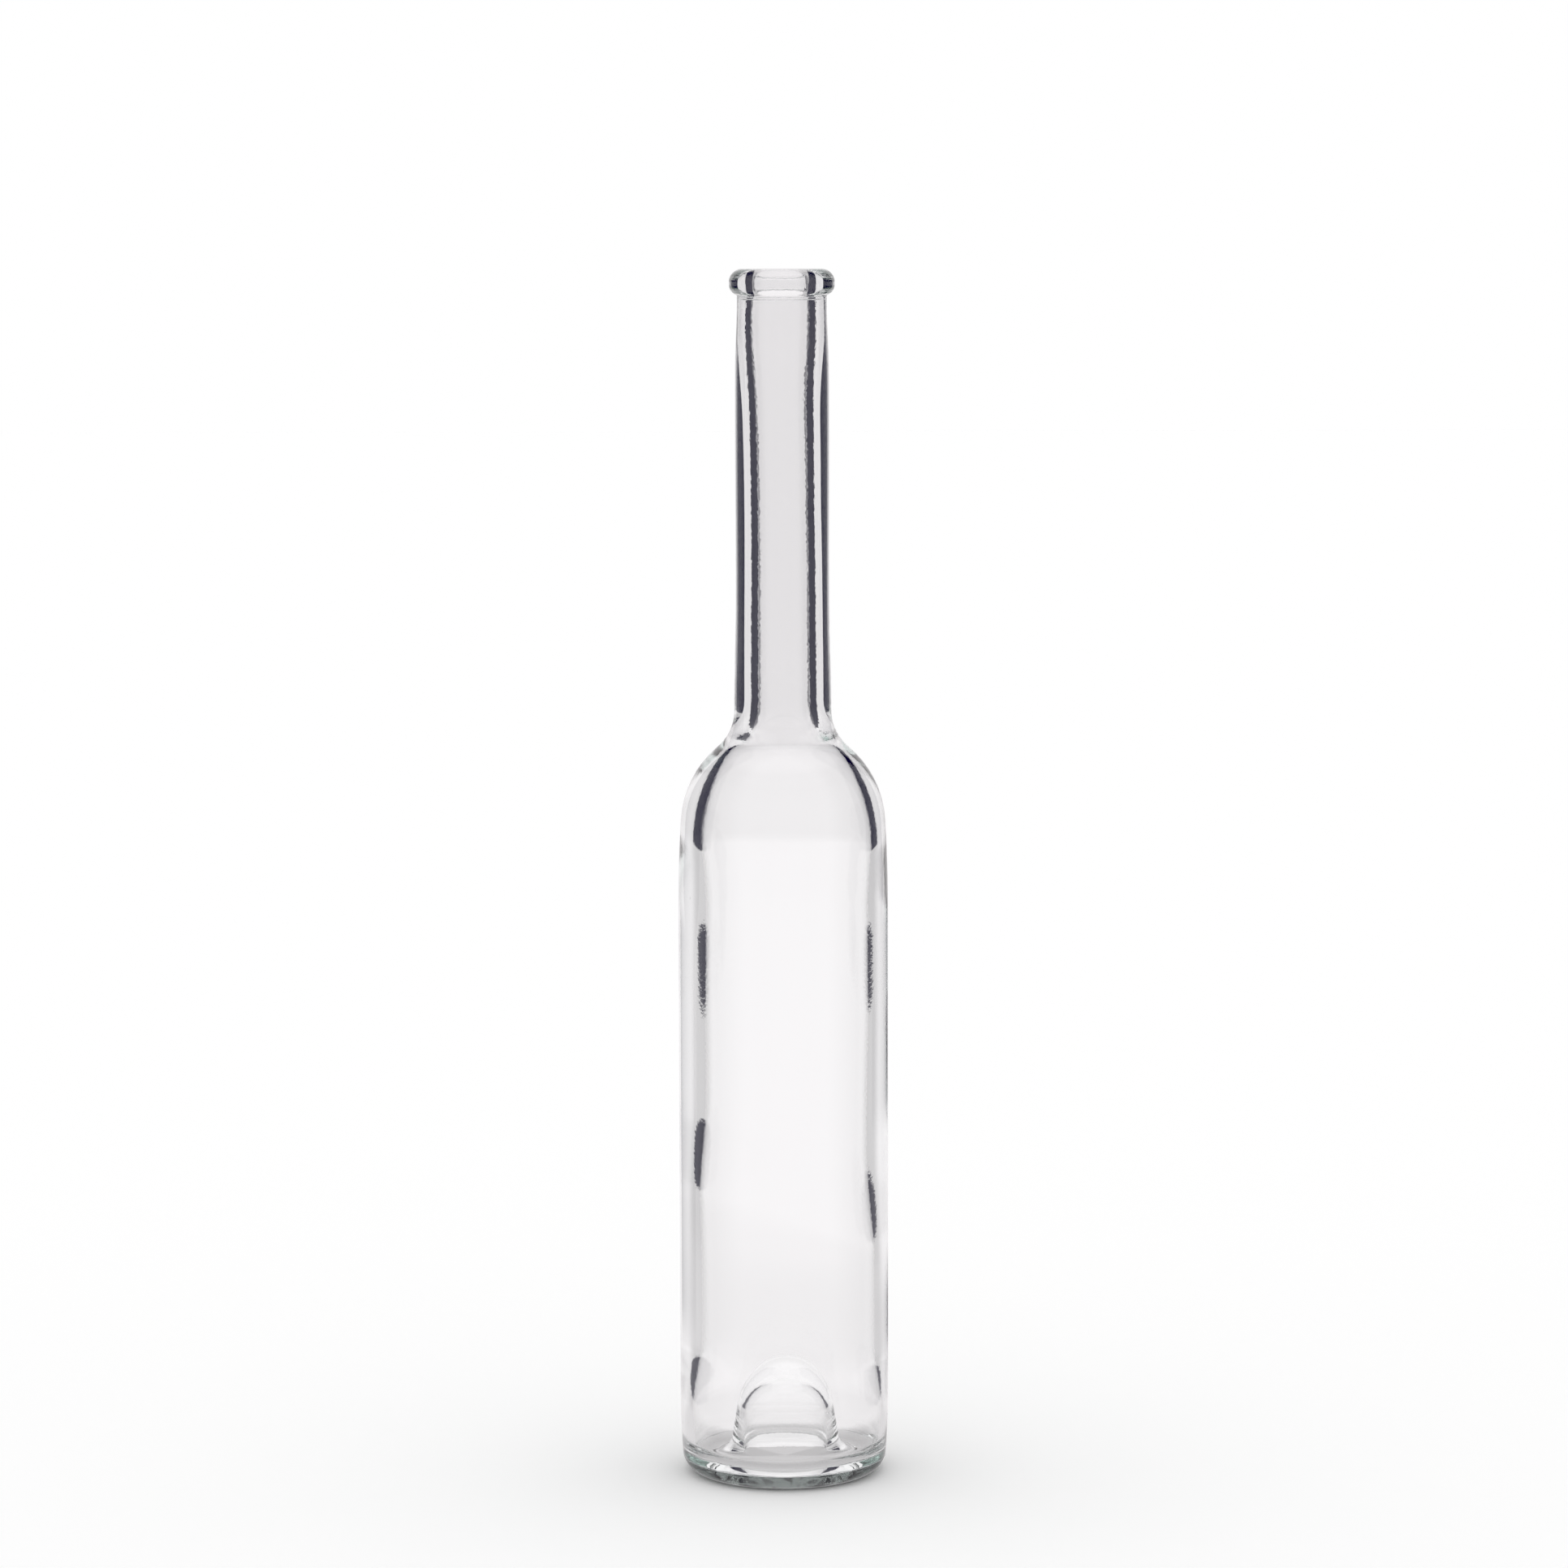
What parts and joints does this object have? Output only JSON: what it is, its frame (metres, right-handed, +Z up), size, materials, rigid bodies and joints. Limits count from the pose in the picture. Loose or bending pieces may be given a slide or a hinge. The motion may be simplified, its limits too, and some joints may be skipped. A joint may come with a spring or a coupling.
{
  "type": "glass bottle",
  "caption": "Slim clear glass bottle with a long straight neck, a rounded bead finish for a stopper, round shoulders, a cylindrical body and a tall domed punt in the base.",
  "frame": {"origin": "middle of the ring that the bottle stands on, in the plane of the table", "axes": "+Z up along the bottle's axis, from the base to the mouth; the glass is round about it, so +X and +Y are free"},
  "size_m": [0.05, 0.05, 0.2885],
  "materials": {
    "clear_glass": "clear flint glass, fire-polished, with a faint grey-green tint in its thick base"
  },
  "bodies": {
    "root": {"glass_bottle": "clear_glass"}
  },
  "joints": []
}
